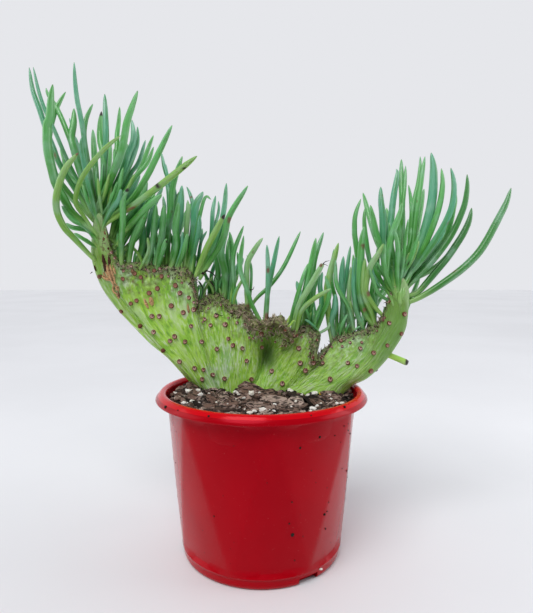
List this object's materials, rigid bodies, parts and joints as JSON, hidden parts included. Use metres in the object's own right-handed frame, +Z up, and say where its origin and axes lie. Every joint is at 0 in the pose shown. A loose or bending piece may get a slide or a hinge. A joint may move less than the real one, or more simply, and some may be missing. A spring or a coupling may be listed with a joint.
{
  "type": "potted chalk sticks plant",
  "caption": "Crested chalk sticks succulent, a fan-shaped stem with slender leaves along its ridge and at two arm tips, in a round plastic nursery pot of bark mix.",
  "frame": {"origin": "centre of the pot's underside, on the surface it stands on", "axes": "+Z up, +X to the right and +Y away from someone who faces the flat of the crest"},
  "size_m": [0.3322, 0.14, 0.3279],
  "materials": {
    "pot": "glossy moulded red polypropylene",
    "potting_mix": "rough bark chips with white perlite",
    "chalk_sticks": "waxy succulent skin with a pale bloom"
  },
  "bodies": {
    "root": {"pot": "pot", "potting_mix": "potting_mix", "chalk_sticks": "chalk_sticks"}
  },
  "joints": []
}
